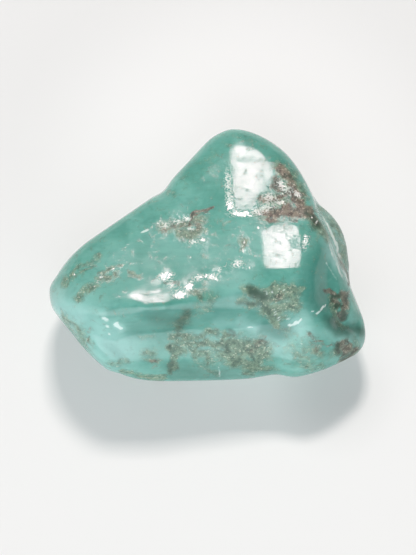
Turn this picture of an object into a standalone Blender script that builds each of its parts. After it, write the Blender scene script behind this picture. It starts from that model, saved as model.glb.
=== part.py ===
"""Tumbled turquoise nugget, one solid stone.

The stone is a wedge: a high ridge runs along its front, a broad table slopes back from the ridge to a peak,
and a steep wall drops from the ridge to a low ledge in front. A knob sticks out at the lower right and a
smaller lump bulges behind the straight right edge.

The shape is worked out lying face up, x along the stone, y towards the peak and z out of the table side, in
millimetres. It is then leaned over so that it lies on its flat underside.
"""

import bmesh
import bpy
import numpy as np

MM = 0.001

# Resting position
LEAN_DEG = 15.0  # how far the face leans towards the front when the stone lies on its base
BASE_CUT = 0.16  # height of the worn flat cut off the underside

# Mesh
PATCH_CELLS = 27  # cells along each side of the six patches that cover the stone
RELAX_ROUNDS = 14
CORE = (0.3, -0.9, -1.2)  # a point well inside the stone
CORE_RADII = (15.5, 11.5, 6.5)

# Rounding between facets
RIM_ROUND = 1.2
EDGE_ROUND = 1.5
TABLE_ROUND = 0.8
RIDGE_ROUND = 0.5
CREST_ROUND = 0.8
LEDGE_ROUND = 1.0
UNDER_ROUND = 3.0
NOTCH_ROUND = 0.9
BACK_ROUND = 0.8

# Facets round the rim, as (azimuth, tilt from straight up, distance from the middle)
RIM_LEFT = (
    (151.0, 88.0, 12.3),
    (181.0, 90.0, 16.6),
    (218.7, 91.0, 15.1),
    (242.8, 92.0, 14.6),
)
RIM_FRONT = (
    (268.0, 92.0, 13.25),
    (274.7, 92.0, 12.95),
    (286.7, 92.0, 13.95),
    (304.0, 92.0, 16.05),
)
RIM_RIGHT = ((22.5, 88.0, 11.8),)
RIM_PEAK = (
    (96.0, 90.0, 12.7),
    (68.0, 90.0, 13.25),
    (51.3, 90.0, 13.0),
    (37.6, 89.0, 12.8),
)
NOTCH_SHOULDER = (124.5, 89.0, 8.0)
NOTCH_PEAK = (137.6, 90.0, 7.8)

# Facets on the face, as (azimuth, tilt, a point that the facet passes through)
TABLE_RIGHT = (79.2, 29.1, (7.4, 0.0, 5.14))
TABLE_LEFT = (103.6, 26.1, (7.4, 0.0, 5.14))
CREST_FLAT = (306.0, 15.0, (7.0, -1.5, 5.95))
WALL_LEFT = (267.0, 58.0, (-4.0, -5.95, 7.2))
WALL_RIGHT = (276.0, 46.0, (5.0, -4.8, 5.6))
FLANK_RIGHT = (348.0, 42.0, (9.6, -1.0, 5.5))
FLANK_KNOB = (310.0, 44.0, (11.0, -5.4, 3.4))
END_FRONT = (222.0, 57.0, (-11.7, -6.2, 4.9))
END_BEVEL = (170.0, 44.0, (-14.2, -3.5, 3.1))

# Soft rise of the table toward the ridge's left end, as (centre, radii, height)
CREST_SWELL = ((-9.0, -4.7, 6.1), (5.0, 3.0, 4.0), 0.65)

# Facets of the ledge in front of the wall
LEDGE_TOP = (268.0, 12.0, (0.0, -7.8, 2.7))
LEDGE_FACE = (271.0, 46.0, (-1.0, -9.8, 2.3))
LEDGE_RIGHT = (325.0, 38.0, (10.0, -9.0, 2.6))
LEDGE_BACK = (90.0, 78.0, (0.0, -5.6, 3.0))

# Facets of the underside, the first of them the one that the stone lies on
UNDERSIDE = (
    (270.0, 165.0, 8.2),
    (270.0, 146.0, 10.3),
    (270.0, 124.0, 12.5),
    (90.0, 160.0, 9.3),
    (90.0, 138.0, 11.6),
    (180.0, 152.0, 11.6),
    (180.0, 126.0, 15.2),
    (0.0, 154.0, 11.2),
    (0.0, 128.0, 14.9),
    (135.0, 130.0, 11.9),
    (225.0, 124.0, 15.7),
    (315.0, 126.0, 16.3),
    (45.0, 132.0, 13.6),
)

# Lump behind the right edge, an ellipsoid
BACK_LUMP = ((9.5, -0.5, -3.0), (4.6, 5.9, 4.4))

# Dents (positive depth) and ridges (negative), as (from, to, width, depth)
DENTS = (
    ((-5.0, 7.1, 2.0), (-5.6, 8.0, -9.0), 1.3, 0.3),
    ((6.4, -12.6, 2.0), (6.4, -12.6, -4.0), 1.2, 0.25),
    ((10.0, -7.6, 2.0), (14.0, -8.5, -1.0), 1.1, -0.6),
    ((13.0, -6.7, 1.0), (14.1, -7.3, -0.4), 1.0, 0.8),
    ((-7.5, -7.2, 3.4), (-1.5, -7.0, 3.4), 1.2, 0.35),
    ((-5.0, 6.8, 0.0), (-1.0, 2.5, 3.0), 2.4, 0.08),
    ((10.6, 2.0, 3.4), (12.2, -5.2, 2.4), 1.1, 0.35),
)


def outward(azimuth, tilt):
    """Unit vector of a facet, from its azimuth and its tilt from straight up in degrees."""
    a = np.radians(azimuth)
    t = np.radians(tilt)
    return np.array((np.sin(t) * np.cos(a), np.sin(t) * np.sin(a), np.cos(t)))


def height_over(points, facet):
    """How far each point is outside a facet, given by a distance or by a point on it."""
    azimuth, tilt, place = facet
    normal = outward(azimuth, tilt)
    reach = normal @ np.array(place) if np.ndim(place) else place
    return points @ normal - reach


def cut(a, b, rounding):
    """Both shapes at once, with a rounded edge where they meet."""
    blend = np.maximum(rounding - np.abs(a - b), 0.0)
    return np.maximum(a, b) + blend * blend / (4.0 * rounding)


def join(a, b, rounding):
    """Either shape, with a filled-in corner where they meet."""
    return -cut(-a, -b, rounding)


def cut_all(points, facets, rounding):
    shape = height_over(points, facets[0])
    for facet in facets[1:]:
        shape = cut(shape, height_over(points, facet), rounding)
    return shape


def dent(points, start, end, width, depth):
    """A soft groove along a segment; a negative depth raises a ridge."""
    start = np.array(start)
    along = np.array(end) - start
    share = np.clip((points - start) @ along / (along @ along), 0.0, 1.0)
    off = points - start - share[:, None] * along
    return depth * np.exp(-(off * off).sum(axis=1) / width**2)


def swell(points, centre, radii, height):
    """A soft rise round a centre, fading over the radii."""
    off = (points - np.array(centre)) / np.array(radii)
    return height * np.exp(-(off * off).sum(axis=1))


def lump(points, centre, radii):
    scaled = (points - np.array(centre)) / np.array(radii)
    return (np.linalg.norm(scaled, axis=1) - 1.0) * min(radii)


def stone(points):
    """Signed distance, roughly, from the surface of the stone: negative inside."""
    rim = cut_all(points, RIM_LEFT + RIM_FRONT + RIM_RIGHT, RIM_ROUND)
    notch = join(height_over(points, NOTCH_SHOULDER), height_over(points, NOTCH_PEAK), NOTCH_ROUND)
    rim = cut(rim, notch, RIM_ROUND)
    rim = cut(rim, cut_all(points, RIM_PEAK, RIM_ROUND), RIM_ROUND)
    table = cut_all(points, (TABLE_LEFT, TABLE_RIGHT), TABLE_ROUND) - swell(points, *CREST_SWELL)
    crest = cut_all(points, (CREST_FLAT, WALL_LEFT, WALL_RIGHT, END_FRONT), CREST_ROUND)
    sides = cut_all(points, (END_BEVEL, FLANK_RIGHT, FLANK_KNOB), CREST_ROUND)
    face = cut(cut(table, crest, RIDGE_ROUND), sides, CREST_ROUND)
    ledge = cut_all(points, (LEDGE_TOP, LEDGE_FACE, END_FRONT, LEDGE_RIGHT, LEDGE_BACK), CREST_ROUND)
    face = join(face, ledge, LEDGE_ROUND)
    shape = cut(rim, face, EDGE_ROUND)
    shape = cut(shape, cut_all(points, UNDERSIDE, UNDER_ROUND), EDGE_ROUND)
    shape = join(shape, lump(points, *BACK_LUMP), BACK_ROUND)
    for mark in DENTS:
        shape = shape + dent(points, *mark)
    return shape


def slope(points, step=0.02):
    """Gradient of the stone's distance at each point."""
    found = np.empty_like(points)
    for axis in range(3):
        shift = np.zeros(3)
        shift[axis] = step
        found[:, axis] = (stone(points + shift) - stone(points - shift)) / (2.0 * step)
    return found


def settle(points, rounds):
    """Points moved straight onto the stone's surface."""
    for _ in range(rounds):
        gradient = slope(points)
        size = np.maximum((gradient * gradient).sum(axis=1), 0.25)
        points = points - gradient * (np.clip(stone(points), -0.8, 0.8) / size)[:, None]
    return points


def covered_by_patches():
    """A rounded block of six square patches, as a bmesh of quads."""
    block = bmesh.new()
    bmesh.ops.create_cube(block, size=2.0)
    bmesh.ops.subdivide_edges(block, edges=block.edges, cuts=PATCH_CELLS - 1, use_grid_fill=True)
    return block


def spread(block):
    """Directions from the core to the block's points, evened out."""
    points = np.array([v.co[:] for v in block.verts])
    points = np.tan(points * np.pi / 4.0)
    return points / np.linalg.norm(points, axis=1, keepdims=True)


def cast(directions):
    """The stone's surface seen from its core along each direction."""
    core = np.array(CORE)
    rays = directions * np.array(CORE_RADII)
    inside = np.zeros(len(rays))
    outside = np.full(len(rays), 2.2)
    for _ in range(30):
        middle = 0.5 * (inside + outside)
        out = stone(core + rays * middle[:, None]) > 0.0
        outside = np.where(out, middle, outside)
        inside = np.where(out, inside, middle)
    return core + rays * inside[:, None]


def relax(points, edges):
    """Evens out the spacing of the points along the surface."""
    count = np.zeros(len(points))
    np.add.at(count, edges.ravel(), 1.0)
    for _ in range(RELAX_ROUNDS):
        total = np.zeros_like(points)
        np.add.at(total, edges[:, 0], points[edges[:, 1]])
        np.add.at(total, edges[:, 1], points[edges[:, 0]])
        points = settle(0.5 * points + 0.5 * total / count[:, None], 2)
    return settle(points, 3)


def lean(points):
    """Turns the face-up stone about x so that its flat underside is level."""
    a = np.radians(LEAN_DEG)
    y = points[:, 1] * np.cos(a) - points[:, 2] * np.sin(a)
    z = points[:, 1] * np.sin(a) + points[:, 2] * np.cos(a)
    return np.stack((points[:, 0], y, z), axis=1)


def cut_base(block):
    """Cuts the worn flat that the stone lies on."""
    lowest = min(v.co.z for v in block.verts)
    level = (0.0, 0.0, lowest + BASE_CUT)
    every = block.verts[:] + block.edges[:] + block.faces[:]
    bmesh.ops.bisect_plane(block, geom=every, plane_co=level, plane_no=(0.0, 0.0, -1.0), clear_outer=True)
    rim = [edge for edge in block.edges if edge.is_boundary]
    bmesh.ops.contextual_create(block, geom=rim)
    bmesh.ops.triangulate(block, faces=[face for face in block.faces if len(face.verts) > 4])


def build_stone():
    block = covered_by_patches()
    points = cast(spread(block))
    edges = np.array([[v.index for v in edge.verts] for edge in block.edges])
    points = lean(relax(points, edges))
    for vert, place in zip(block.verts, points):
        vert.co = place
    cut_base(block)
    low = np.min([v.co[:] for v in block.verts], axis=0)
    high = np.max([v.co[:] for v in block.verts], axis=0)
    foot = np.array((0.5 * (low[0] + high[0]), 0.5 * (low[1] + high[1]), low[2]))
    for vert in block.verts:
        vert.co = (np.array(vert.co[:]) - foot) * MM
    bmesh.ops.recalc_face_normals(block, faces=block.faces)
    mesh = bpy.data.meshes.new("turquoise_nugget")
    block.to_mesh(mesh)
    block.free()
    mesh.shade_smooth()
    return mesh


def turquoise():
    """Polished blue-green turquoise."""
    material = bpy.data.materials.new("turquoise")
    material.use_nodes = True
    shader = material.node_tree.nodes["Principled BSDF"]
    shader.inputs["Base Color"].default_value = (0.13, 0.40, 0.34, 1.0)
    shader.inputs["Roughness"].default_value = 0.16
    shader.inputs["IOR"].default_value = 1.61
    return material


def main():
    for old in list(bpy.data.objects):
        bpy.data.objects.remove(old)
    mesh = build_stone()
    mesh.materials.append(turquoise())
    nugget = bpy.data.objects.new("turquoise_nugget", mesh)
    home = bpy.data.collections.new("raw turquoise nugget")
    bpy.context.scene.collection.children.link(home)
    home.objects.link(nugget)


main()
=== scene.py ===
import math

import bmesh
import bpy
import numpy as np
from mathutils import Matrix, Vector


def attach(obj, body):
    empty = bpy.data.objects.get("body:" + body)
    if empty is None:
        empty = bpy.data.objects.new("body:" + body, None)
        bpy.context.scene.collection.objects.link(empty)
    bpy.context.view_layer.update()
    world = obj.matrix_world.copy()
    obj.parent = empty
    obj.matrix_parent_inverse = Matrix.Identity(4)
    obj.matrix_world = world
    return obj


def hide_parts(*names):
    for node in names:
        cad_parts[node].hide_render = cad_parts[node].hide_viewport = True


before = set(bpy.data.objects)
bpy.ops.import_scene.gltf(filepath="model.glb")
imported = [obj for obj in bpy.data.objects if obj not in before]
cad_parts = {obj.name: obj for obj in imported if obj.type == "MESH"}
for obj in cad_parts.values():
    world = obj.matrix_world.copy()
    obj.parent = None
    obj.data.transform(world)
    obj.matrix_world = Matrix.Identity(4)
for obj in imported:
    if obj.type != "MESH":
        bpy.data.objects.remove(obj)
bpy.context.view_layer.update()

MM = 1000.0  # millimetres in a metre
# The stone's own face frame, in millimetres: x along the stone, y to the peak, z out of the table
LEAN = math.radians(15.0)
FOOT = np.array((-0.0657, 0.5631, -8.0081))  # from that frame's origin to the model's, along the model's axes

# Photograph's view, in metres where no other unit is named
VIEW_ELEVATION = math.radians(75.0)
VIEW_DISTANCE = 0.45
VIEW_CENTRE = (0.0, -2.25, 0.6)  # face frame, mm
VIEW_HEIGHT = 0.0555  # what the picture's long side shows at the stone, m
SENSOR = 36.0  # the camera's, along the picture's long side, mm

# Softbox behind the stone, as two lamps in one place: one lights, and the other is what the polish mirrors
KEY_ELEVATION = math.radians(50.0)
KEY_DISTANCE = 0.6
KEY_SIZE = (0.126, 0.063)
KEY_RADIANCE, KEY_COLOUR = 126.0, (1.0, 0.92, 0.88)
GLINT_RADIANCE, GLINT_COLOUR = 72.0, (1.0, 0.7, 0.75)
AMBIENT = 0.24
AMBIENT_COLOUR = (0.92, 0.985, 1.0, 1.0)
# Broad lights of the room: (toward, cosine where it starts, cosine where it is full, strength)
FILLS = (
    ((0.0, -0.94, 0.34), 0.7, 1.0, 2.6),
    ((-0.66, -0.66, 0.34), 0.7, 1.0, 1.7),
)
FLOOR_SIZE = 3.0  # m
FLOOR_BACK, FLOOR_FRONT = (0.5, 0.5, 0.5, 1.0), (0.57, 0.57, 0.57, 1.0)
FLOOR_FADE = 30.0  # how far behind and before the stone the painted falloff of light, darker at the back and lighter at the front, reaches its two greys, mm
FLOOR_GLOW = 0.205  # light that comes through the paper from below
# Painted light and shadow on the floor, as more or less glow: a brighter pool behind the stone and a painted
# shadow by its front right end: (x, y, where it is full, where it ends, strength), mm
FLOOR_PAINTED_LIGHT_AND_SHADOW = (
    (4.0, 9.0, 8.0, 26.0, 0.16),
    (13.0, -12.5, 1.0, 8.0, -0.1),
)

POLISH_ROUGHNESS, MATRIX_ROUGHNESS = 0.12, 0.5
TURQUOISE_IOR = 1.61
TRANSLUCENCY = 0.2
TRANSLUCENCY_REACH = 0.0006  # how far light spreads inside the stone, m
TRANSLUCENCY_COLOUR = (0.5, 1.0, 0.9)
CRUMB_HEIGHT, SPECK_HEIGHT, GRAIN_HEIGHT = 0.05, 0.03, 0.0012  # relief too fine for the mesh, mm

MERGED = 1e-6  # points of the solid nearer than this are one, m
QUAD_BEND, QUAD_SKEW = math.radians(30.0), math.radians(60.0)  # most in two triangles that join to a quad
SUBDIVISIONS = 2
MIX_A, MIX_B, MIX_RESULT = 6, 7, 2  # places of the colour sockets on Blender's Mix node


def to_face(co):
    """Points of the model, in metres, as millimetres in the face frame."""
    p = co * MM + FOOT
    c, s = math.cos(LEAN), math.sin(LEAN)
    return np.stack((p[:, 0], p[:, 1] * c + p[:, 2] * s, -p[:, 1] * s + p[:, 2] * c), axis=1)


def from_face(p):
    """A point of the face frame, in millimetres, as a point of the model in metres."""
    x, y, z = p
    c, s = math.cos(LEAN), math.sin(LEAN)
    return (np.array((x, y * c - z * s, y * s + z * c)) - FOOT) / MM


def hashed(i, j, k, seed):
    """A fixed number from 0 to 1 for each cell."""
    h = (i * 374761393 + j * 668265263 + k * 2147483647 + seed * 974634777) & 0xFFFFFFFF
    h = ((h ^ (h >> 13)) * 1274126177) & 0xFFFFFFFF
    h = ((h ^ (h >> 16)) * 2246822519) & 0xFFFFFFFF
    return ((h ^ (h >> 15)) & 0xFFFFFF) / float(0xFFFFFF)


def noise3(p, size, seed):
    """Smooth noise from -1 to 1 whose lumps are about size mm across."""
    q = p / size
    cell = np.floor(q).astype(np.int64)
    f = q - cell
    f = f * f * f * (f * (f * 6.0 - 15.0) + 10.0)
    total = np.zeros(len(p))
    for dx in (0, 1):
        for dy in (0, 1):
            for dz in (0, 1):
                w = (
                    (f[:, 0] if dx else 1.0 - f[:, 0])
                    * (f[:, 1] if dy else 1.0 - f[:, 1])
                    * (f[:, 2] if dz else 1.0 - f[:, 2])
                )
                total += w * hashed(cell[:, 0] + dx, cell[:, 1] + dy, cell[:, 2] + dz, seed)
    return total * 2.0 - 1.0


def layered(p, size, seed, layers):
    """Noise from -1 to 1 with finer and fainter lumps on the coarse ones."""
    total, weight, amount = np.zeros(len(p)), 0.0, 1.0
    for layer in range(layers):
        total += amount * noise3(p, size / 2.0**layer, seed + layer)
        weight += amount
        amount *= 0.55
    return total / weight


def ramp(x, low, high):
    """0 below low and 1 above high, and smooth between them."""
    t = np.clip((x - low) / (high - low), 0.0, 1.0)
    return t * t * (3.0 - 2.0 * t)


# How far the normals rise out of the table where stains start and where they are full, and the same for the
# painted glints
STROKES_FACING, PAINTED_GLINT_FACING = (-0.25, 0.05), (0.2, 0.55)
HIDDEN_FACING = (-0.1, 0.2)  # the same for stains on the sides and the underside, by how far the normals fall
# Waver that makes the edges of stains ragged: how far and over what length, mm
RAGGED, RAGGED_SIZE = 0.3, 1.1
FINE_RAGGED, FINE_RAGGED_SIZE = 0.12, 0.4
# Stains, painted shade, sheen and glints on the face, as strokes: (half width, strength, points along it),
# face frame, mm
# Brown matrix
BROWN = (
    (0.42, 0.7, ((7.1, 8.7), (7.9, 7.9), (8.8, 6.9), (9.1, 5.7))),
    (0.5, 0.8, ((6.5, 7.1), (7.5, 6.5), (8.6, 6.2))),
    (0.28, 0.75, ((5.4, 5.5), (6.7, 5.3), (7.7, 5.7))),
    (0.45, 0.95, ((8.7, 5.5), (9.3, 5.0))),
    (0.42, 0.9, ((5.3, 4.1), (6.7, 4.1), (8.0, 4.3))),
    (0.62, 1.0, ((7.8, 4.3), (9.2, 4.3), (10.0, 4.1))),
    (0.25, 0.8, ((6.2, 3.4), (6.7, 3.6))),
    (0.22, 0.7, ((8.1, 3.4), (8.8, 3.3))),
    (0.3, 0.8, ((10.3, 3.8), (11.0, 3.1))),
    (0.18, 0.5, ((-4.4, 2.5), (-3.6, 2.6), (-2.3, 2.8), (-1.6, 2.9))),
    (0.17, 0.85, ((-1.8, 3.0), (-1.6, 3.8), (-1.1, 4.4))),
    (0.12, 0.8, ((-1.2, 4.3), (-0.1, 4.6), (0.5, 4.9))),
    (0.1, 0.7, ((-1.2, 4.0), (0.0, 4.4))),
    (0.35, 0.5, ((-0.9, 3.2), (-0.8, 2.5))),
    (0.3, 0.5, ((-3.9, -2.8), (-2.9, -3.0))),
    (0.35, 0.45, ((6.6, -4.2), (7.5, -4.2))),
    (0.2, 0.8, ((-5.9, -10.6), (-5.4, -10.6))),
    (0.25, 0.45, ((10.1, -7.6), (10.4, -8.2), (10.5, -8.7))),
    (0.5, 0.35, ((10.1, -9.0), (11.0, -9.2))),
    (0.11, 0.75, ((10.7, -8.6), (11.7, -8.9), (12.7, -8.8), (13.7, -8.5))),
    (0.2, 0.95, ((11.6, -3.8), (12.3, -3.9), (13.0, -4.0))),
    (0.3, 0.9, ((12.6, -4.5), (12.9, -4.9))),
    (0.45, 0.9, ((13.5, -3.9), (13.7, -5.0), (13.5, -5.9))),
    (0.3, 0.8, ((12.9, -5.6), (13.3, -6.2))),
    (0.45, 0.75, ((12.6, -9.0), (13.7, -9.1), (14.3, -9.1))),
    (0.45, 0.75, ((13.0, -9.9), (13.9, -9.7))),
    (0.4, 0.45, ((4.4, -9.2), (5.6, -8.4))),
    (0.2, 0.5, ((-11.6, -7.2), (-11.6, -8.8))),
    (0.2, 0.6, ((13.1, -0.3), (13.6, -1.6), (14.0, -2.8))),
)
# Olive matrix
OLIVE = (
    (0.6, 0.8, ((7.0, 8.9), (8.2, 7.6), (9.2, 6.0), (9.4, 4.9))),
    (0.7, 0.7, ((5.6, 5.4), (7.6, 5.2), (9.0, 6.4))),
    (0.6, 0.6, ((5.0, 4.0), (8.0, 3.9), (10.2, 3.7))),
    (0.5, 0.8, ((10.1, 3.7), (11.0, 2.6), (11.8, 1.6))),
    (0.5, 0.75, ((-2.8, 2.2), (-1.6, 1.9), (-0.8, 2.5))),
    (0.45, 0.75, ((-2.6, 3.0), (-1.2, 3.1))),
    (0.6, 0.6, ((-4.7, 2.6), (-2.5, 2.9), (-0.7, 3.4))),
    (0.32, 0.6, ((-14.5, -2.9), (-13.8, -2.2), (-13.0, -1.3), (-12.2, -0.7), (-11.0, -0.3))),
    (0.25, 0.55, ((-13.4, -2.4), (-12.3, -1.4), (-11.3, -0.9))),
    (0.42, 0.65, ((-12.6, -4.2), (-12.2, -3.4), (-11.3, -3.2), (-10.3, -2.6), (-9.1, -2.1))),
    (0.3, 0.5, ((-10.5, -1.9), (-9.6, -1.3), (-8.8, -1.2))),
    (0.28, 0.8, ((-7.5, -2.1), (-6.7, -2.25))),
    (0.4, 0.45, ((-4.1, 6.3), (-3.2, 6.0))),
    (0.22, 0.45, ((-5.7, 5.3), (-4.9, 5.4))),
    (0.35, 0.6, ((3.2, 1.5), (3.9, 1.4), (3.4, 0.8))),
    (0.2, 0.5, ((1.0, 3.2), (1.9, 3.1))),
    (1.0, 0.4, ((8.6, -9.2), (10.4, -10.4))),
    (0.6, 0.42, ((-0.9, -3.5), (0.1, -3.5), (0.4, -4.2), (-0.3, -5.0), (-1.0, -5.4))),
    (0.35, 0.75, ((-1.4, -3.6), (-0.8, -4.3))),
    (0.42, 0.8, ((3.1, -4.6), (3.9, -4.6), (4.9, -4.5))),
    (0.5, 0.8, ((3.9, -3.3), (5.2, -3.9))),
    (0.85, 1.0, ((5.6, -4.4), (6.5, -3.8), (7.6, -3.7), (8.1, -3.8))),
    (0.75, 1.0, ((5.9, -5.3), (6.8, -5.5), (7.7, -5.1), (8.5, -5.0))),
    (0.35, 0.9, ((6.3, -6.2), (6.7, -6.8))),
    (0.3, 0.65, ((8.2, -3.4), (9.4, -3.4))),
    (0.45, 0.6, ((-2.2, -5.6), (-2.4, -6.4), (-3.0, -7.1))),
    (0.45, 0.75, ((-3.4, -8.1), (-2.6, -7.8), (-1.3, -8.0), (-0.2, -7.8), (0.8, -7.8))),
    (0.42, 0.75, ((-3.0, -8.7), (-1.8, -8.6), (-0.3, -8.7), (0.8, -8.8))),
    (0.5, 0.75, ((-3.6, -9.3), (-3.0, -9.5), (-1.8, -9.4), (-0.6, -9.6))),
    (0.36, 0.85, ((-3.6, -9.5), (-3.4, -10.2), (-3.5, -11.0), (-3.8, -11.7))),
    (0.4, 0.85, ((1.2, -8.6), (2.0, -7.7), (2.5, -7.9))),
    (0.95, 0.95, ((2.4, -9.0), (3.7, -9.3), (5.0, -9.0), (5.4, -9.6))),
    (0.65, 0.95, ((1.9, -9.9), (3.0, -10.5), (4.2, -10.7), (5.0, -10.6))),
    (0.4, 0.7, ((4.0, -11.5), (5.2, -11.1), (6.5, -11.2))),
    (0.7, 0.6, ((-1.0, -9.8), (0.3, -10.3), (1.3, -9.9), (0.6, -9.2))),
    (0.35, 0.45, ((-0.9, -10.8), (0.0, -11.2), (0.8, -11.7))),
    (0.5, 0.55, ((-6.3, -9.7), (-5.7, -9.8))),
    (0.3, 0.7, ((-6.0, -10.4), (-5.0, -10.5))),
    (0.45, 0.35, ((-6.8, -7.9), (-5.9, -7.9))),
    (0.7, 0.5, ((-14.2, -6.1), (-13.4, -6.7), (-12.7, -7.5), (-12.2, -8.4), (-11.9, -9.5))),
    (0.3, 0.65, ((-12.5, -7.1), (-11.8, -8.3))),
    (0.3, 0.5, ((-9.6, -10.6), (-8.9, -10.8), (-8.2, -10.5))),
    (0.26, 0.7, ((-8.4, -11.5), (-7.1, -11.9), (-5.6, -12.1), (-4.4, -12.2))),
    (0.5, 0.3, ((7.2, -7.4), (8.3, -8.0))),
    (0.45, 0.6, ((9.9, -8.9), (11.1, -9.3))),
    (0.5, 0.55, ((9.0, -10.0), (9.8, -10.7), (11.0, -10.7))),
    (0.3, 0.5, ((8.9, -9.6), (9.0, -10.3))),
    (0.35, 0.7, ((12.0, -4.2), (12.4, -5.2), (13.0, -6.8), (13.5, -7.4))),
    (0.6, 0.6, ((12.4, -9.2), (13.6, -9.5), (14.4, -9.2))),
    (0.8, 0.55, ((11.6, 4.8), (12.6, 3.2), (13.4, 1.4), (13.9, -0.6))),
    (0.9, 0.16, ((-3.4, 6.6), (-1.0, 8.0), (0.6, 9.6))),
    (0.9, 0.16, ((2.0, 11.6), (4.0, 11.2))),
)
# Painted shade: darker blue-green on the wall under the crest, along the crest where the fills throw a sheen,
# and on the right flank
PAINTED_SHADE = (
    (1.1, 0.45, ((-6.0, -6.0), (-2.0, -6.1), (2.4, -5.6), (4.4, -5.9))),
    (0.9, 0.75, ((-6.0, -6.2), (-4.8, -6.5), (-2.4, -6.5))),
    (0.9, 0.6, ((-7.4, -7.2), (-3.6, -7.4))),
    (0.35, 0.55, ((-9.8, -5.6), (-6.0, -5.5), (-2.2, -5.1), (0.5, -4.5), (2.4, -4.4), (4.4, -3.8))),
    (0.7, 0.3, ((-1.2, -6.9), (1.8, -6.9))),
    (0.9, 0.95, ((5.8, -7.1), (7.4, -7.5))),
    (1.4, 0.5, ((11.2, 0.2), (10.6, -3.2), (11.4, -4.8))),
)
# Near-black green cores of the matrix, and painted shade in a pit below the crest, in the pocket by the knob,
# on the wall under the crest, on the right flank and along the lower edge
DEEP_AND_SHADE = (
    (0.9, 0.4, ((-3.4, -11.6), (0.0, -11.8), (2.4, -11.8))),
    (0.8, 0.3, ((2.4, -11.8), (4.4, -11.8), (6.0, -11.6))),
    (0.45, 1.0, ((4.3, -3.55), (4.9, -3.75), (5.4, -4.0))),
    (0.3, 0.6, ((3.2, -4.6), (5.0, -4.6))),
    (0.28, 0.7, ((5.6, -5.0), (6.0, -5.8))),
    (0.7, 0.3, ((-5.2, -6.1), (-4.2, -6.4), (-2.4, -6.3))),
    (0.5, 0.7, ((-2.3, -5.8), (-2.9, -7.0))),
    (1.0, 0.25, ((11.0, -4.2), (11.6, -5.0))),
    (0.25, 0.8, ((1.8, -9.1), (2.0, -9.6))),
    (0.2, 0.8, ((4.5, -10.0), (4.5, -10.5))),
    (0.25, 0.7, ((2.1, -7.6), (2.5, -8.0))),
    (0.3, 0.6, ((2.6, -10.8), (3.1, -10.4))),
    (0.25, 0.8, ((-3.5, -10.6), (-3.7, -11.5))),
    (0.22, 0.8, ((-3.7, -9.2), (-3.6, -9.4))),
    (0.65, 0.75, ((12.1, -6.4), (12.9, -7.4), (14.0, -7.6), (14.9, -7.5))),
    (0.25, 0.9, ((12.3, -4.0), (13.0, -4.1))),
    (0.25, 0.9, ((12.6, -5.1), (12.9, -5.2))),
    (0.25, 0.8, ((13.2, -5.9), (13.6, -6.1))),
    (0.3, 0.8, ((12.5, -8.9), (12.8, -9.4))),
    (0.3, 0.7, ((13.4, -10.0), (14.1, -9.6))),
    (0.25, 0.8, ((9.9, 4.1), (10.4, 3.6), (11.0, 2.9))),
    (0.2, 0.7, ((7.7, 7.9), (8.2, 7.7))),
    (0.14, 0.8, ((-1.4, 3.7), (-1.3, 4.0))),
)
# Pale bloom: lighter stone, and painted sheen and light on the lower left end, the ledge, the knob's crest
# and the right ridge
PALE_AND_SHEEN = (
    (3.0, 0.1, ((-9.0, -0.6), (-3.0, -0.2), (2.4, 0.6))),
    (2.0, 0.7, ((-13.0, -5.4), (-10.9, -7.4), (-9.0, -9.0))),
    (0.5, 1.0, ((-9.1, -6.9), (-8.7, -7.3))),
    (1.3, 0.15, ((-10.0, -9.0), (-8.0, -9.6))),
    (1.2, 1.0, ((-14.6, -4.6), (-12.6, -6.0))),
    (1.2, 0.35, ((1.0, -2.5), (2.6, -3.6), (3.2, -2.6))),
    (0.8, 0.8, ((13.2, -8.3), (14.4, -8.3))),
    (0.6, 0.5, ((0.9, -6.7), (3.0, -6.6))),
    (0.6, 0.85, ((3.2, -6.6), (5.2, -7.2))),
    (0.6, 0.4, ((7.2, -7.6), (9.2, -7.1))),
    (0.55, 0.8, ((11.7, 2.0), (12.2, 0.4), (12.6, -1.0))),
    (0.4, 0.6, ((12.0, 3.8), (12.8, 2.4), (13.4, 0.8))),
    (0.6, 0.45, ((9.2, -7.3), (11.4, -8.0), (13.0, -8.5))),
    (0.8, 0.5, ((5.4, -8.4), (7.4, -8.8))),
    (0.5, 0.15, ((8.2, -10.6), (10.4, -11.2))),
)
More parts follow.
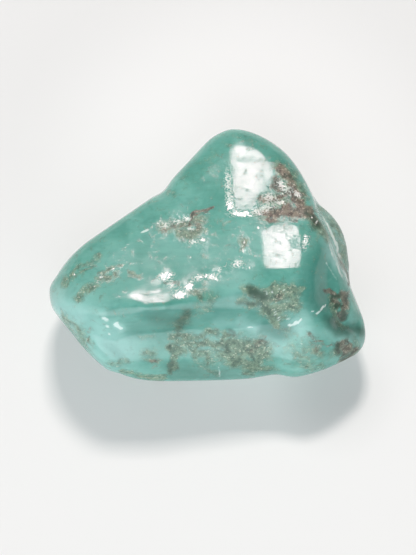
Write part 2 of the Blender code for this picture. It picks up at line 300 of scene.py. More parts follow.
# Painted highlights and glints: whitish lines and specks on the right ridge, the belly and the lower left
# end, as strokes of the same kind
PAINTED_GLINTS = (
    (0.11, 1.0, ((-6.45, 2.3), (-6.05, 2.42))),
    (0.13, 0.95, (
        (9.5, 7.4), (10.2, 6.2), (11.0, 4.8), (11.7, 3.3),
        (12.4, 1.8), (12.9, 0.5), (13.3, -0.7), (13.8, -2.2),
    )),
    (0.1, 0.6, ((11.9, 1.4), (12.3, 0.2), (12.7, -1.0))),
    (0.1, 0.55, ((11.6, -0.8), (12.2, -1.6), (12.8, -2.4))),
    (0.12, 0.65, ((12.6, -0.2), (13.0, -1.5), (13.6, -2.6))),
    (0.1, 0.65, ((14.0, -1.8), (14.3, -3.2), (14.5, -4.4))),
    (0.26, 0.95, ((-10.25, -6.25), (-10.15, -6.3))),
    (0.21, 1.3, ((-9.1, -6.75), (-8.65, -7.15))),
    (0.12, 0.8, ((-10.0, -7.05), (-9.9, -7.1))),
    (0.1, 0.8, ((-9.95, -7.85), (-9.85, -7.9))),
    (0.12, 0.9, ((3.95, -7.05), (4.4, -7.1))),
    (0.13, 0.95, ((8.0, -6.95), (8.25, -6.9))),
    (0.15, 0.95, ((8.5, -6.75), (8.65, -6.55))),
    (0.12, 0.9, ((8.85, -6.6), (9.15, -6.35))),
    (0.12, 0.8, ((7.9, -6.4), (8.0, -6.2))),
    (0.09, 0.9, ((10.2, -5.5), (10.4, -5.55))),
    (0.1, 0.9, ((10.7, -5.75), (10.95, -5.5))),
    (0.1, 0.9, ((11.15, -5.35), (11.35, -5.1))),
    (0.08, 0.8, ((11.5, -5.2), (11.6, -4.95))),
    (0.09, 0.8, ((5.85, -3.5), (5.9, -3.8))),
    (0.09, 0.8, ((6.25, -3.4), (6.3, -3.7))),
    (0.08, 0.8, ((7.2, -3.3), (7.25, -3.6))),
    (0.08, 0.8, ((7.6, -3.5), (7.65, -3.8))),
    (0.09, 0.7, ((7.05, -5.9), (7.0, -6.3))),
    (0.11, 0.6, ((6.5, -5.3), (6.55, -5.8))),
    (0.08, 0.8, ((5.05, -5.0), (5.3, -5.15))),
    (0.08, 0.7, ((9.2, -8.6), (9.0, -9.2), (9.1, -9.4))),
    (0.07, 0.5, ((1.2, -10.8), (1.2, -12.3))),
)
# Where the polish is broken by fine relief, so that it glitters
BROKEN = (
    (0.4, 1.0, ((1.8, 8.8), (2.0, 7.4), (2.2, 5.6))),
    (0.3, 0.35, ((2.4, 9.9), (3.6, 9.6), (4.4, 9.9))),
    (0.4, 0.8, ((6.6, 8.8), (7.0, 7.8))),
    (0.5, 0.9, ((5.6, 5.2), (6.6, 4.6))),
    (0.42, 0.9, ((8.5, 1.15), (9.9, 0.7))),
    (0.4, 0.6, ((-5.3, 3.4), (-4.6, 2.8), (-3.8, 3.2))),
    (0.6, 0.7, ((-3.2, 3.6), (-2.2, 3.2), (-1.2, 2.8))),
    (0.4, 0.7, ((-4.4, 2.6), (-2.8, 2.0), (-1.2, 1.4))),
    (0.4, 0.6, ((-3.4, 1.3), (-0.4, 1.2), (-0.6, 0.4))),
    (0.3, 0.7, ((-4.4, -3.0), (-2.9, -3.1))),
    (0.4, 0.7, ((2.2, -1.4), (2.8, -0.8), (3.8, -1.2))),
    (0.25, 0.6, ((0.4, -1.6), (1.6, -1.8))),
    (0.4, 0.6, ((3.3, 1.6), (3.6, 0.4))),
    (0.5, 0.5, ((-11.0, -2.4), (-9.0, -1.6))),
    (0.8, 0.7, ((5.8, -4.0), (7.4, -4.8))),
    (0.8, 0.4, ((-3.0, -8.2), (0.4, -8.4))),
    (1.0, 0.5, ((2.6, -8.8), (5.2, -9.4))),
    (0.7, 0.5, ((12.8, -4.4), (13.4, -6.4))),
    (0.5, 0.6, ((10.2, -5.4), (12.0, -5.0))),
)
# Parts of the face that mirror the key light, as closed outlines and as strokes, mm
WINDOWS = (
    (
        (2.1, 10.6), (3.2, 11.0), (4.4, 10.7), (5.4, 10.0), (6.2, 9.2), (7.2, 8.3),
        (7.5, 7.7), (6.8, 7.3), (6.0, 6.8), (5.5, 6.3), (5.4, 5.0), (5.0, 4.5),
        (2.3, 4.1), (2.3, 6.0), (1.9, 7.2), (2.3, 8.4), (2.3, 9.6),
    ),
    (
        (5.6, 2.5), (6.6, 2.9), (8.2, 3.0), (9.0, 2.7), (9.25, 1.0),
        (9.2, -1.4), (7.4, -1.5), (5.6, -1.4), (5.5, 1.0),
    ),
)
STREAKS = (
    (0.46, ((-7.2, -4.1), (-6.3, -4.6), (-4.5, -4.45), (-3.0, -4.1), (-1.8, -3.9))),
    (0.36, ((-2.7, -3.9), (-2.2, -2.9), (-1.6, -2.4))),
    (0.26, ((-1.6, -2.3), (-0.8, -2.2), (-0.4, -2.15))),
    (0.28, ((0.1, -2.35), (0.6, -2.0), (1.0, -1.5))),
    (0.36, ((-4.7, -2.15), (-3.8, -2.0))),
    (0.2, ((-2.6, 3.25), (-2.1, 3.3))),
)
WAVER, WAVER_SIZE = 0.1, 0.6  # how far the edges of these parts waver, and over what length, mm
MIRROR_SPREAD = (0.06, 0.034)  # how far the slopes along x and y may be off and still mirror the softbox
WITHIN = 0.5  # how far off the mirror slopes, in spreads, the face may stay inside the windows
APART = 2.0  # how far off it is kept outside them
LEAST_OFF = 0.2  # nearer to the mirror slopes than this, in spreads, it is pushed off less
FACE_UP, FACE_FULLY_UP = 0.35, 0.5  # rise of the normals where the polish starts and where it is full
WINDOW_WEIGHT, NEAR_WEIGHT, FAR_WEIGHT = 1.0, 0.5, 0.12  # how firmly each part of the face holds its slope
HELD = 0.002  # how firmly it holds its place
LEAST_STEP = 1e-3  # squared length, mm2, that counts as the least between two points
POLISH_ROUNDS = 2
SOLVER_STEPS = 300
GROWTH = 0.15  # what rounding the solid takes off its outline, mm
BASE_FADE = (0.02, 0.4)  # heights above the floor between which the sides start to grow, mm
SWELLS = ((0.006, 4.5, 134), (0.0015, 1.6, 135))  # noise on the polish: (height, size, seed), mm
SUNK, UNEVEN, PIT_DEPTH = 0.01, 0.015, 0.04  # the matrix's depth, its unevenness and its pits' depth, mm
# Where the sides stand further out or in than the solid's: (reach, how far, points along it), mm
SIDES = (
    (2.4, 0.34, ((-14.2, -5.4), (-12.6, -8.4), (-10.6, -10.6))),
    (3.4, 0.46, ((10.0, -11.4), (11.6, -10.9), (13.6, -9.7))),
    (2.4, -0.2, ((-14.4, -1.6), (-12.2, 0.9), (-8.4, 3.6), (-5.2, 6.0))),
    (2.0, -0.14, ((-4.0, 6.6), (-1.4, 9.6), (0.8, 11.6))),
    (1.6, -0.14, ((11.6, 4.6), (12.9, 2.4), (13.6, 0.4))),
)
FLAT_FACING = 0.3  # least rise of the normals where a small flat may be
FLAT_POINTS = 6  # how many points around a small flat's middle tell the stone's slope there
# A small flat's place is known out to this many half sizes, and this many mm past them
KNOWN_SIZES, KNOWN_PAST = 2.0, 0.26
NOWHERE = 9.0  # place of the points that face too far down for a flat, in half sizes
# Small polished flats that face halfway to the key light, also tinted whitish as painted glints: (x, y, half
# length, half width, turn in degrees)
FLATS = (
    (-4.95, 3.15, 0.1, 0.08, 0.0),
    (-4.75, 3.4, 0.08, 0.08, 0.0),
    (-1.8, -0.25, 0.12, 0.07, 0.0),
    (5.0, 2.7, 0.1, 0.1, 0.0),
    (-10.6, -2.2, 0.2, 0.12, 30.0),
    (-13.3, -2.0, 0.1, 0.08, 30.0),
    (-11.2, -3.1, 0.1, 0.08, 30.0),
    (-9.4, -1.4, 0.1, 0.08, 0.0),
    (4.1, -1.25, 0.08, 0.13, 0.0),
    (3.6, 1.3, 0.1, 0.2, -30.0),
    (3.5, 0.4, 0.1, 0.2, 10.0),
    (-5.0, -0.1, 0.05, 0.05, 0.0),
    (7.6, 6.7, 0.9, 0.5, -40.0),
    (8.9, 6.1, 0.4, 0.25, -40.0),
    (6.1, 5.7, 0.7, 0.4, 0.0),
    (5.8, 4.7, 0.8, 0.35, 5.0),
    (7.3, 5.2, 0.5, 0.2, 0.0),
    (1.95, 7.3, 0.28, 1.0, 0.0),
    (2.15, 5.4, 0.35, 1.1, 0.0),
    (3.4, 4.1, 1.1, 0.28, 0.0),
    (4.9, 4.2, 0.5, 0.25, 0.0),
    (-1.9, -3.2, 0.6, 0.3, 58.0),
    (-2.7, -3.95, 0.7, 0.32, 10.0),
    (-0.9, -2.25, 0.42, 0.22, 20.0),
    (-0.1, -2.15, 0.2, 0.2, 0.0),
    (0.35, -2.15, 0.36, 0.24, 15.0),
    (0.8, -2.45, 0.18, 0.14, 0.0),
    (1.1, -1.55, 0.3, 0.16, 60.0),
    (-4.2, -2.1, 0.75, 0.3, 8.0),
    (-3.6, -3.0, 0.4, 0.2, -10.0),
    (-4.3, 2.95, 0.45, 0.22, 10.0),
    (-3.0, 3.3, 0.4, 0.22, 0.0),
    (-2.1, 3.6, 0.35, 0.22, 0.0),
    (-1.7, 2.6, 0.25, 0.16, 0.0),
    (-1.5, 1.3, 0.35, 0.18, 0.0),
    (-0.5, 1.5, 0.3, 0.18, 0.0),
    (2.9, -0.9, 0.5, 0.3, 20.0),
    (9.7, 1.3, 0.3, 0.65, -15.0),
    (10.3, 3.75, 0.08, 0.14, 0.0),
    (10.8, 3.25, 0.08, 0.18, -30.0),
)


def reach(p, points):
    """Distance in the face's plane from each point to a line through points, mm."""
    best = np.full(len(p), np.inf)
    for a, b in zip(points[:-1], points[1:]):
        a, b = np.array(a), np.array(b)
        along = b - a
        t = np.clip(((p[:, :2] - a) @ along) / max(along @ along, 1e-9), 0.0, 1.0)
        best = np.minimum(best, np.hypot(p[:, 0] - a[0] - t * along[0], p[:, 1] - a[1] - t * along[1]))
    return best


def warped(p, seed, amount):
    """Points moved a little, so that what is drawn on them has ragged edges."""
    out = p.copy()
    for axis in (0, 1):
        coarse = noise3(p, RAGGED_SIZE, seed + axis)
        fine = noise3(p, FINE_RAGGED_SIZE, seed + 4 + axis)
        out[:, axis] += amount * (RAGGED * coarse + FINE_RAGGED * fine)
    return out


def stain(p, facing, strokes, seed, soft, ragged=1.0):
    """How strongly each point is marked by strokes, of stain or of painted light and shade, on the side that
    faces out of the table.
    """
    q = warped(p, seed, ragged)
    best = np.zeros(len(p))
    for half, strength, points in strokes:
        d = reach(q, points) / half
        best = np.maximum(best, strength * ramp(-d, -1.0 - soft, -1.0 + soft))
    return best * ramp(facing, *STROKES_FACING)


def hidden_stain(p, facing, size, seed, level):
    """Stains on the sides and the underside, which the strokes don't reach."""
    n = layered(p, size, seed, 4)
    return ramp(n, level, level + 0.25) * ramp(-facing, *HIDDEN_FACING)


def fine_mesh(node):
    """The stone's solid as a fine smooth mesh of quads."""
    block = bmesh.new()
    block.from_mesh(node.data)
    bmesh.ops.remove_doubles(block, verts=block.verts, dist=MERGED)
    bmesh.ops.join_triangles(
        block,
        faces=block.faces,
        angle_face_threshold=QUAD_BEND,
        angle_shape_threshold=QUAD_SKEW,
    )
    mesh = bpy.data.meshes.new("nugget_rough")
    block.to_mesh(mesh)
    block.free()
    cage = bpy.data.objects.new("nugget_rough", mesh)
    bpy.context.scene.collection.objects.link(cage)
    fine = cage.modifiers.new("fine", "SUBSURF")
    fine.levels = fine.render_levels = SUBDIVISIONS
    bpy.context.view_layer.update()
    made = bpy.data.meshes.new_from_object(cage.evaluated_get(bpy.context.evaluated_depsgraph_get()))
    bpy.data.objects.remove(cage)
    bpy.data.meshes.remove(mesh)
    made.name = "nugget"
    return made


def point_normals(mesh):
    normals = np.empty(len(mesh.vertices) * 3, np.float32)
    mesh.vertices.foreach_get("normal", normals)
    return normals.reshape(-1, 3).astype(float)


def points_of(mesh):
    co = np.empty(len(mesh.vertices) * 3, np.float32)
    mesh.vertices.foreach_get("co", co)
    return co.reshape(-1, 3).astype(float)


def store(mesh, name, values):
    layer = mesh.attributes.new(name, "FLOAT", "POINT")
    layer.data.foreach_set("value", values.astype(np.float32))


def inside(p, outline):
    """Which points lie within a closed outline in the face's plane."""
    within = np.zeros(len(p), bool)
    for (ax, ay), (bx, by) in zip(outline, outline[1:] + outline[:1]):
        if ay != by:
            crosses = (p[:, 1] < ay) != (p[:, 1] < by)
            within ^= crosses & (p[:, 0] < ax + (bx - ax) * (p[:, 1] - ay) / (by - ay))
    return within


def glint_slopes(p):
    """Slopes along x and y at which each point throws the key light at the camera."""
    turn = VIEW_ELEVATION + LEAN
    camera = np.array(VIEW_CENTRE) + MM * VIEW_DISTANCE * np.array((0.0, -math.cos(turn), math.sin(turn)))
    turn = KEY_ELEVATION - LEAN
    c, s = math.cos(LEAN), math.sin(LEAN)
    origin = (0.0, FOOT[1] * c + FOOT[2] * s, FOOT[2] * c - FOOT[1] * s)  # the model's, but for its small x
    key = MM * KEY_DISTANCE * np.array((0.0, math.cos(turn), math.sin(turn))) + origin
    half = np.zeros((len(p), 3))
    for place in (camera, key):
        toward = place - p
        half += toward / np.linalg.norm(toward, axis=1)[:, None]
    return -half[:, :2] / half[:, 2:]


def face_normals(mesh):
    """Normals of the points in the face frame."""
    n = point_normals(mesh)
    c, s = math.cos(LEAN), math.sin(LEAN)
    return np.stack((n[:, 0], n[:, 1] * c + n[:, 2] * s, n[:, 2] * c - n[:, 1] * s), axis=1)


def mirror_parts(p):
    """Which points lie in the windows and streaks, whose edges waver a little."""
    q = p.copy()
    for axis in (0, 1):
        q[:, axis] += WAVER * noise3(p, WAVER_SIZE, 151 + axis)
    mirror = np.zeros(len(p), bool)
    for outline in WINDOWS:
        mirror |= inside(q, outline)
    for half, points in STREAKS:
        mirror |= reach(q, points) < half
    return mirror[:, None]


def fit_heights(count, a, b, rise, pull):
    """Heights of points whose rises from a to b come near to those wanted, by conjugate gradients."""

    def spread_out(flow):
        return np.bincount(b, flow, count) - np.bincount(a, flow, count)

    scale = 1.0 / (np.bincount(a, pull, count) + np.bincount(b, pull, count) + HELD)
    heights = np.zeros(count)
    left = spread_out(pull * rise)
    ready = scale * left
    way = ready.copy()
    amount = left @ ready
    for _ in range(SOLVER_STEPS):
        pushed = spread_out(pull * (way[b] - way[a])) + HELD * way
        along = amount / (way @ pushed)
        heights += along * way
        left -= along * pushed
        ready = scale * left
        amount, before = left @ ready, amount
        way = ready + amount / before * way
    return heights


def polish(mesh, p):
    """Lift along z of the face frame that turns the windows to the key light and the rest away."""
    n = face_normals(mesh)
    upper = n[:, 2] > FACE_UP
    slope = -n[:, :2] / np.maximum(n[:, 2:], FACE_UP)
    spread = np.array(MIRROR_SPREAD)
    off = (slope - glint_slopes(p)) / spread
    size = np.abs(off).max(axis=1, keepdims=True)
    mirror = mirror_parts(p)
    turned_away = off * np.maximum(1.0, APART / np.maximum(size, LEAST_OFF))
    wanted = np.where(mirror, np.clip(off, -WITHIN, WITHIN), turned_away)
    change = (wanted - off) * spread
    weight = np.where(mirror, WINDOW_WEIGHT, np.where(size < APART, NEAR_WEIGHT, FAR_WEIGHT))[:, 0]
    ends = np.empty(len(mesh.edges) * 2, np.int32)
    mesh.edges.foreach_get("vertices", ends)
    a, b = ends.reshape(-1, 2).T
    kept = upper[a] & upper[b]
    a, b = a[kept], b[kept]
    step = p[b, :2] - p[a, :2]
    pull = (weight[a] + weight[b]) / 2.0 / np.maximum((step**2).sum(axis=1), LEAST_STEP)
    rise = ((change[a] + change[b]) / 2.0 * step).sum(axis=1)
    return fit_heights(len(p), a, b, rise, pull) * ramp(n[:, 2], FACE_UP, FACE_FULLY_UP)


def all_stains(p, facing):
    """Every stain's strength, and that of the painted shade, sheen and glints, at each point, by name."""
    stains = {
        "brown": stain(p, facing, BROWN, 11, 0.7),
        "olive": stain(p, facing, OLIVE, 31, 0.9),
        # dark matrix cores, and painted shade
        "deep_and_shade": stain(p, facing, DEEP_AND_SHADE, 51, 0.9),
        # lighter stone, and painted sheen and light
        "pale_and_sheen": stain(p, facing, PALE_AND_SHEEN, 71, 0.95),
        "broken": stain(p, facing, BROKEN, 91, 0.9),
        # painted shade on the wall under the crest, along the crest and on the right flank
        "clear": stain(p, facing, PAINTED_SHADE, 61, 0.95),
        # painted highlights and glints
        "painted_glints": stain(p, facing, PAINTED_GLINTS, 81, 0.8, 0.5) * ramp(facing, *PAINTED_GLINT_FACING),
    }
    stains["brown"] = np.maximum(stains["brown"], 0.9 * hidden_stain(p, facing, 3.2, 111, 0.28))
    stains["olive"] = np.maximum(stains["olive"], 0.8 * hidden_stain(p, facing, 4.5, 131, 0.12))
    return stains


def growth(p, matrix):
    """How far each point moves out along its normal, mm: the fit of the sides, swells, and pitted matrix."""
    lift = np.full(len(p), GROWTH)
    for height, size, seed in SWELLS:
        lift += height * noise3(p, size, seed)
    for width, rise, points in SIDES:
        lift += rise * (1.0 - ramp(reach(p, points), 0.3 * width, width))
    pits = ramp(noise3(p, 0.7, 136), 0.3, 0.8)
    return lift - matrix * (SUNK + UNEVEN * noise3(p, 0.5, 137) + PIT_DEPTH * pits)


def move_points(mesh, co):
    mesh.vertices.foreach_set("co", co.astype(np.float32).ravel())
    mesh.update()


def shape_stone(mesh):
    """Polishes and grows the stone, sinks its matrix, and stores where the stains and the painted shade,
    sheen and glints are.
    """
    co = points_of(mesh)
    normals = point_normals(mesh)
    p = to_face(co)
    outward = np.array((0.0, -math.sin(LEAN), math.cos(LEAN)))
    stains = all_stains(p, normals @ outward)
    matrix = np.clip(stains["brown"] + 0.6 * stains["olive"], 0.0, 1.0)
    lift = growth(p, matrix)
    above_base = ramp(co[:, 2] * MM, *BASE_FADE)
    for _ in range(POLISH_ROUNDS):
        co = co + outward * (polish(mesh, to_face(co)) / MM)[:, None]
        move_points(mesh, co)
    co = co + normals * (lift * above_base / MM)[:, None]
    co[:, 2] = np.maximum(co[:, 2], 0.0)
    move_points(mesh, co)
    for name, values in stains.items():
        store(mesh, name, values)
    mesh.shade_smooth()
    mesh.update()


def place_flats(mesh):
    """Stores, around each small flat, the place within it and the rise that turns it to the light."""
    p = to_face(points_of(mesh))
    n = face_normals(mesh)
    upper = n[:, 2] > FLAT_FACING
    place = np.full((len(p), 3), NOWHERE)
    rise = np.zeros((len(p), 3))
    known = np.zeros(len(p))
    nearest = np.full(len(p), np.inf)
    for x, y, length, width, turn in FLATS:
        off = p[:, :2] - np.array((x, y))
        apart = np.where(upper, np.hypot(off[:, 0], off[:, 1]), np.inf)
        mean = n[np.argsort(apart)[:FLAT_POINTS]].mean(axis=0)
        glint = glint_slopes(np.array(((x, y, p[np.argmin(apart), 2]),)))[0]
        tilt = (glint[0] + mean[0] / mean[2], glint[1] + mean[1] / mean[2])
        c, s = math.cos(math.radians(turn)), math.sin(math.radians(turn))
        along = (off[:, 0] * c + off[:, 1] * s) / length
        across = (off[:, 1] * c - off[:, 0] * s) / width
        out = np.hypot(along, across)
        beyond = (out - 1.0) * math.sqrt(length * width)
        mine = upper & (beyond < nearest)
        nearest[mine] = beyond[mine]
        place[mine] = np.stack((along, across, np.zeros(len(p))), axis=1)[mine]
        rise[mine] = ((tilt[0] * c + tilt[1] * s) * length, (tilt[1] * c - tilt[0] * s) * width, 0.0)
        known[mine] = (out < KNOWN_SIZES + KNOWN_PAST / width)[mine]
    store(mesh, "flat_near", known)
    for name, values in (("flat_place", place), ("flat_rise", rise)):
        layer = mesh.attributes.new(name, "FLOAT_VECTOR", "POINT")
        layer.data.foreach_set("vector", values.astype(np.float32).ravel())


def linear(text):
    """Linear colour of a hex code."""
    parts = [int(text[i : i + 2], 16) / 255.0 for i in (0, 2, 4)]
    return tuple(c / 12.92 if c <= 0.04045 else ((c + 0.055) / 1.055) ** 2.4 for c in parts) + (1.0,)


BLUE_GREEN = linear("549588")
GREEN_BLUE = linear("69A59A")


class Shader:
    """Short names for the nodes that the materials use."""

    def __init__(self, name):
        self.material = bpy.data.materials.new(name)
        self.material.use_nodes = True
        self.tree = self.material.node_tree
        self.surface = self.tree.nodes["Principled BSDF"]
        place = self.tree.nodes.new("ShaderNodeTexCoord")
        scale = self.tree.nodes.new("ShaderNodeVectorMath")
        scale.operation = "SCALE"
        scale.inputs["Scale"].default_value = MM
        self.tree.links.new(place.outputs["Object"], scale.inputs[0])
        self.mm = scale.outputs[0]

    def put(self, socket, value):
        if isinstance(value, bpy.types.NodeSocket):
            self.tree.links.new(value, socket)
        else:
            socket.default_value = value

    def set(self, name, value):
        self.put(self.surface.inputs[name], value)

    def attribute(self, name, output="Fac"):
        node = self.tree.nodes.new("ShaderNodeAttribute")
        node.attribute_name = name
        return node.outputs[output]

    def noise(self, size, detail, roughness, distortion=0.0, stretch=None):
        """Noise around 0.5 whose lumps are about size mm across."""
        node = self.tree.nodes.new("ShaderNodeTexNoise")
        place = self.mm
        if stretch is not None:
            scale = self.tree.nodes.new("ShaderNodeVectorMath")
            scale.operation = "MULTIPLY"
            self.put(scale.inputs[0], self.mm)
            scale.inputs[1].default_value = stretch
            place = scale.outputs[0]
        self.put(node.inputs["Vector"], place)
        node.inputs["Scale"].default_value = 1.0 / size
        node.inputs["Detail"].default_value = detail
        node.inputs["Roughness"].default_value = roughness
        node.inputs["Distortion"].default_value = distortion
        return node.outputs["Fac"]

    def place_along(self, axis):
        """Place along one axis, mm."""
        node = self.tree.nodes.new("ShaderNodeSeparateXYZ")
        self.put(node.inputs[0], self.mm)
        return node.outputs[axis]

    def math(self, operation, a, b):
        node = self.tree.nodes.new("ShaderNodeMath")
        node.operation = operation
        self.put(node.inputs[0], a)
        self.put(node.inputs[1], b)
        return node.outputs[0]

    def ramp(self, value, low, high, start=0.0, end=1.0):
        """start below low and end above high, and smooth between them."""
        node = self.tree.nodes.new("ShaderNodeMapRange")
        node.interpolation_type = "SMOOTHSTEP"
        self.put(node.inputs["Value"], value)
        node.inputs["From Min"].default_value = low
        node.inputs["From Max"].default_value = high
        node.inputs["To Min"].default_value = start
        node.inputs["To Max"].default_value = end
        return node.outputs["Result"]

    def mix(self, amount, a, b):
        node = self.tree.nodes.new("ShaderNodeMix")
        node.data_type = "RGBA"
        self.put(node.inputs["Factor"], amount)
        self.put(node.inputs[MIX_A], a)
        self.put(node.inputs[MIX_B], b)
        return node.outputs[MIX_RESULT]

    def tint(self, colour, where, most, code):
        """A colour turned towards a hex code, by up to most, where something is."""
        return self.mix(self.math("MULTIPLY", where, most), colour, linear(code))

    def vector(self, operation, a, b=(0.0, 0.0, 0.0)):
        node = self.tree.nodes.new("ShaderNodeVectorMath")
        node.operation = operation
        self.put(node.inputs[0], a)
        self.put(node.inputs[1], b)
        return node.outputs["Value" if operation in ("DOT_PRODUCT", "LENGTH") else "Vector"]

    def bump(self, height):
        """Normal that a relief in millimetres gives."""
        node = self.tree.nodes.new("ShaderNodeBump")
        self.put(node.inputs["Height"], height)
        node.inputs["Strength"].default_value = 1.0
        node.inputs["Distance"].default_value = 1.0 / MM
        return node.outputs["Normal"]


def clouded_stone(s):
    """Colour of the clean stone: blue-green clouds, streaks along the stone and fine light spots, tinted pale
    with painted sheen in places and darker with painted shade.
    """
    soft = s.noise(5.0, 3.0, 0.5, 0.4)
    clouds = s.noise(1.5, 5.0, 0.55, 0.8)
    streaks = s.noise(0.5, 4.0, 0.6, 0.3, stretch=(0.22, 1.0, 0.8))
    fine = s.noise(0.3, 4.0, 0.6)
    colour = s.mix(s.ramp(soft, 0.35, 0.65), BLUE_GREEN, GREEN_BLUE)
    for field, start, full, most, code in (
        (clouds, 0.5, 0.72, 0.35, "74AEA2"),
        (clouds, 0.5, 0.28, 0.35, "47837A"),
        (streaks, 0.5, 0.7, 0.15, "82BAAE"),
        (streaks, 0.5, 0.3, 0.15, "427B71"),
        (fine, 0.55, 0.75, 0.1, "8CBDB2"),
    ):
        colour = s.mix(s.ramp(field, start, full, 0.0, most), colour, linear(code))
    # Pale stone, and painted sheen and light on the lower left end, the ledge and the ridges
    colour = s.tint(colour, s.attribute("pale_and_sheen"), 0.6, "A9D3CF")
    # Painted shade: darker blue-green on the wall under the crest, along the crest and on the right flank
    return s.tint(colour, s.attribute("clear"), 0.9, "2A7468")


def matrix_colours(s):
    """Mottled olive and mottled brown, both with light flecks that are partly pale grains and partly painted
    glints.
    """
    mottle = s.ramp(s.noise(0.55, 6.0, 0.72, 0.2), 0.38, 0.62)
    flecks_and_glints = s.ramp(s.noise(0.24, 2.0, 0.5, 0.4), 0.58, 0.67)
    # Light flecks: pale grains, and painted glints
    olive = s.tint(s.mix(mottle, linear("405441"), linear("7C9078")), flecks_and_glints, 0.6, "CCCCB4")
    brown = s.tint(s.mix(mottle, linear("413A30"), linear("7D7364")), flecks_and_glints, 0.5, "CBBEB0")
    return olive, brown


def polished_flats(s, within):
    """How much each point belongs to a small flat with a crumbled edge, from its place in that flat."""
    out = s.vector("LENGTH", within)
    crumbled = s.ramp(s.math("ADD", s.noise(0.2, 2.0, 0.5), s.ramp(out, 0.2, 1.3, 0.1, 0.0)), 0.47, 0.57)
    edge = s.math("MULTIPLY", s.ramp(out, 0.9, 1.8, 1.0, 0.0), crumbled)
    return s.math("MULTIPLY", edge, s.ramp(s.attribute("flat_near"), 0.5, 1.0))


def fine_relief(s, matrix, within, polished_and_glint_paint):
    """Height in mm of crumbs where the polish is broken, of specks in the matrix, of grain and of flats."""
    broken = s.math("MULTIPLY", s.attribute("broken"), CRUMB_HEIGHT)
    crumbs = s.math("MULTIPLY", s.noise(0.28, 3.0, 0.6), broken)
    specks = s.math("MULTIPLY", s.noise(0.2, 3.0, 0.6), s.math("MULTIPLY", matrix, SPECK_HEIGHT))
    grain = s.math("MULTIPLY", s.noise(0.12, 2.0, 0.6), GRAIN_HEIGHT)
    tilt = s.vector("DOT_PRODUCT", within, s.attribute("flat_rise", "Vector"))
    height = s.math("ADD", s.math("ADD", crumbs, specks), grain)
    return s.math("ADD", height, s.math("MULTIPLY", tilt, polished_and_glint_paint))


def turquoise():
    s = Shader("polished_turquoise")
    torn = s.math("MULTIPLY", s.math("SUBTRACT", s.noise(0.8, 8.0, 0.7, 0.5), 0.5), 1.9)
    olive = s.ramp(s.math("ADD", s.attribute("olive"), torn), 0.0, 0.9)
    brown = s.ramp(s.math("ADD", s.attribute("brown"), torn), 0.1, 0.85)
    # Where the painted highlights and glints are
    painted_glints = s.ramp(s.math("ADD", s.attribute("painted_glints"), s.math("MULTIPLY", torn, 0.8)), 0.2, 0.85)
    within = s.attribute("flat_place", "Vector")
    # Small polished flats, which are also tinted whitish as painted glints
    polished_and_glint_paint = polished_flats(s, within)
    olive_colour, brown_colour = matrix_colours(s)
    colour = clouded_stone(s)
    colour = s.mix(s.math("MULTIPLY", olive, 0.86), colour, olive_colour)
    colour = s.mix(s.math("MULTIPLY", brown, 0.88), colour, brown_colour)
    # Dark cores of the matrix, and painted shade in a pit, the pocket by the knob, under the crest, on the
    # right flank and along the lower edge
    colour = s.tint(colour, s.attribute("deep_and_shade"), 0.95, "1E4333")
    # Painted glints: the small flats are tinted whitish, so that they glitter under any light
    colour = s.tint(colour, polished_and_glint_paint, 0.6, "DCE4DE")
    # Painted highlights and glints: whitish lines and specks
    s.set("Base Color", s.tint(colour, painted_glints, 0.7, "DCE8E4"))
    matrix = s.math("MAXIMUM", olive, brown)
    dull = s.math("MULTIPLY", matrix, s.math("SUBTRACT", 1.0, polished_and_glint_paint))
    s.set("Roughness", s.ramp(dull, 0.0, 1.0, POLISH_ROUGHNESS, MATRIX_ROUGHNESS))
    s.set("IOR", TURQUOISE_IOR)
    s.set("Subsurface Weight", TRANSLUCENCY)
    s.set("Subsurface Radius", TRANSLUCENCY_COLOUR)
    s.set("Subsurface Scale", TRANSLUCENCY_REACH)
    s.set("Normal", s.bump(fine_relief(s, matrix, within, polished_and_glint_paint)))
    return s.material


def paper():
    """Floor's pale paper, lit from below, with painted light: darker toward the back, a painted pool of light
    behind the stone and a painted shadow by its front right end.
    """
    s = Shader("pale_floor")
    # Painted falloff of light: darker toward the back, lighter toward the front
    s.set("Base Color", s.mix(s.ramp(s.place_along("Y"), FLOOR_FADE, -FLOOR_FADE), FLOOR_BACK, FLOOR_FRONT))
    glow = FLOOR_GLOW
    # Painted light behind the stone and painted shadow by its front right end
    for x, y, full, end, amount in FLOOR_PAINTED_LIGHT_AND_SHADOW:
        away = s.vector("LENGTH", s.vector("SUBTRACT", s.mm, (x, y, 0.0)))
        glow = s.math("ADD", glow, s.ramp(away, full, end, amount, 0.0))
    s.set("Emission Color", (1.0, 1.0, 1.0, 1.0))
    s.set("Emission Strength", glow)
    s.set("Roughness", 0.9)
    s.set("Specular IOR Level", 0.2)
    return s.material


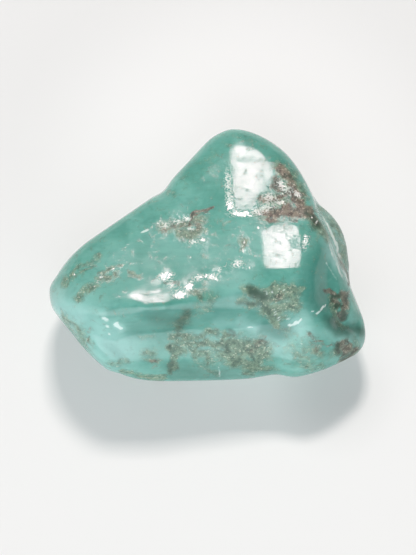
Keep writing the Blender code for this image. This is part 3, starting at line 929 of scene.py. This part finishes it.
def surround():
    """Soft room light: an even glow, and broad fills from the front and from the front left."""
    world = bpy.data.worlds.new("studio")
    world.use_nodes = True
    tree = world.node_tree
    place = tree.nodes.new("ShaderNodeTexCoord")
    strength = AMBIENT
    for toward, start, full, amount in FILLS:
        dot = tree.nodes.new("ShaderNodeVectorMath")
        dot.operation = "DOT_PRODUCT"
        tree.links.new(place.outputs["Generated"], dot.inputs[0])
        dot.inputs[1].default_value = Vector(toward).normalized()
        fade = tree.nodes.new("ShaderNodeMapRange")
        fade.interpolation_type = "SMOOTHSTEP"
        tree.links.new(dot.outputs["Value"], fade.inputs["Value"])
        fade.inputs["From Min"].default_value = start
        fade.inputs["From Max"].default_value = full
        fade.inputs["To Min"].default_value = 0.0
        fade.inputs["To Max"].default_value = amount
        total = tree.nodes.new("ShaderNodeMath")
        tree.links.new(fade.outputs["Result"], total.inputs[0])
        if isinstance(strength, float):
            total.inputs[1].default_value = strength
        else:
            tree.links.new(strength, total.inputs[1])
        strength = total.outputs[0]
    back = tree.nodes["Background"]
    back.inputs["Color"].default_value = AMBIENT_COLOUR
    tree.links.new(strength, back.inputs["Strength"])
    bpy.context.scene.world = world


def key_light(name, radiance, colour):
    """The softbox behind the stone, facing it."""
    data = bpy.data.lights.new(name, "AREA")
    data.shape = "RECTANGLE"
    data.size, data.size_y = KEY_SIZE
    data.energy = radiance * math.pi * KEY_SIZE[0] * KEY_SIZE[1]
    data.color = colour
    lamp = bpy.data.objects.new(name, data)
    toward = Vector((0.0, math.cos(KEY_ELEVATION), math.sin(KEY_ELEVATION)))
    lamp.location = toward * KEY_DISTANCE
    lamp.rotation_mode = "QUATERNION"
    lamp.rotation_quaternion = toward.to_track_quat("Z", "Y")
    bpy.context.scene.collection.objects.link(lamp)
    return lamp


def aim_camera():
    data = bpy.data.cameras.new("camera")
    data.lens = SENSOR * VIEW_DISTANCE / VIEW_HEIGHT
    data.clip_start, data.clip_end = 0.01, 10.0
    camera = bpy.data.objects.new("camera", data)
    toward = Vector((0.0, -math.cos(VIEW_ELEVATION), math.sin(VIEW_ELEVATION)))
    camera.location = Vector(from_face(VIEW_CENTRE)) + toward * VIEW_DISTANCE
    camera.rotation_mode = "QUATERNION"
    camera.rotation_quaternion = toward.to_track_quat("Z", "Y")
    bpy.context.scene.collection.objects.link(camera)
    bpy.context.scene.camera = camera


def main():
    mesh = fine_mesh(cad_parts["turquoise_nugget"])
    shape_stone(mesh)
    place_flats(mesh)
    mesh.materials.clear()
    mesh.materials.append(turquoise())
    nugget = bpy.data.objects.new("polished_nugget", mesh)
    bpy.context.scene.collection.objects.link(nugget)
    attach(nugget, "root")
    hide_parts("turquoise_nugget")

    bpy.ops.mesh.primitive_plane_add(size=FLOOR_SIZE)
    floor = bpy.context.object
    floor.name = "floor"
    floor.data.materials.append(paper())

    surround()
    key_light("key", KEY_RADIANCE, KEY_COLOUR).visible_glossy = False
    key_light("key_glint", GLINT_RADIANCE, GLINT_COLOUR).visible_diffuse = False
    aim_camera()
    bpy.context.scene.view_settings.view_transform = "Standard"


main()
